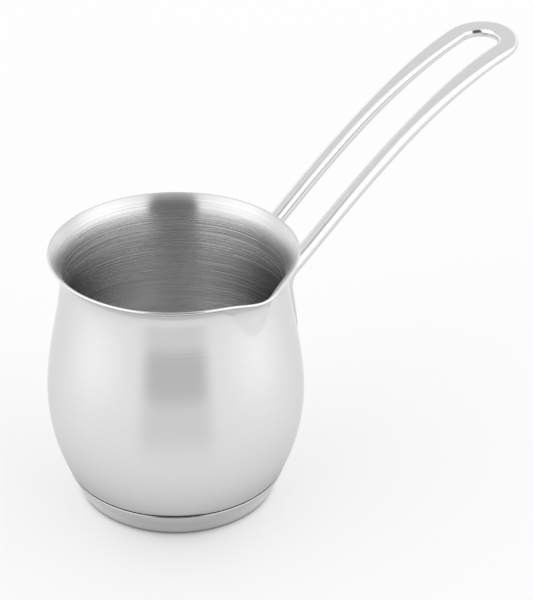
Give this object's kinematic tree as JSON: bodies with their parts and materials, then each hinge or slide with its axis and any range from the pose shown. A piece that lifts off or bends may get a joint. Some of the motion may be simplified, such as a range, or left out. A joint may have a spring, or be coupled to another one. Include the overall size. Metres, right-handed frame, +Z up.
{
  "type": "turkish coffee pot",
  "caption": "Bellied steel coffee pot with flared rim, pressed side spout, encapsulated base and a long upswept loop handle, for brewing on a stove.",
  "frame": {"origin": "centre of the base's flat underside, on the pot's axis", "axes": "+Z up along the pot's axis, +X along the handle, -Y towards the pouring spout"},
  "size_m": [0.2159, 0.0896, 0.1241],
  "materials": {
    "brushed_steel": "satin stainless steel, brushed round the pot",
    "base_steel": "fine satin stainless steel",
    "polished_steel": "mirror-polished stainless steel",
    "disc_aluminium": "plain rolled aluminium",
    "weld_steel": "spot-welded steel"
  },
  "bodies": {
    "root": {"pot_shell": "brushed_steel", "heat_spreader": "disc_aluminium", "base_cap": "base_steel", "handle": "polished_steel", "spot_weld_left_lower": "weld_steel", "spot_weld_left_upper": "weld_steel", "spot_weld_right_lower": "weld_steel", "spot_weld_right_upper": "weld_steel"}
  },
  "joints": []
}
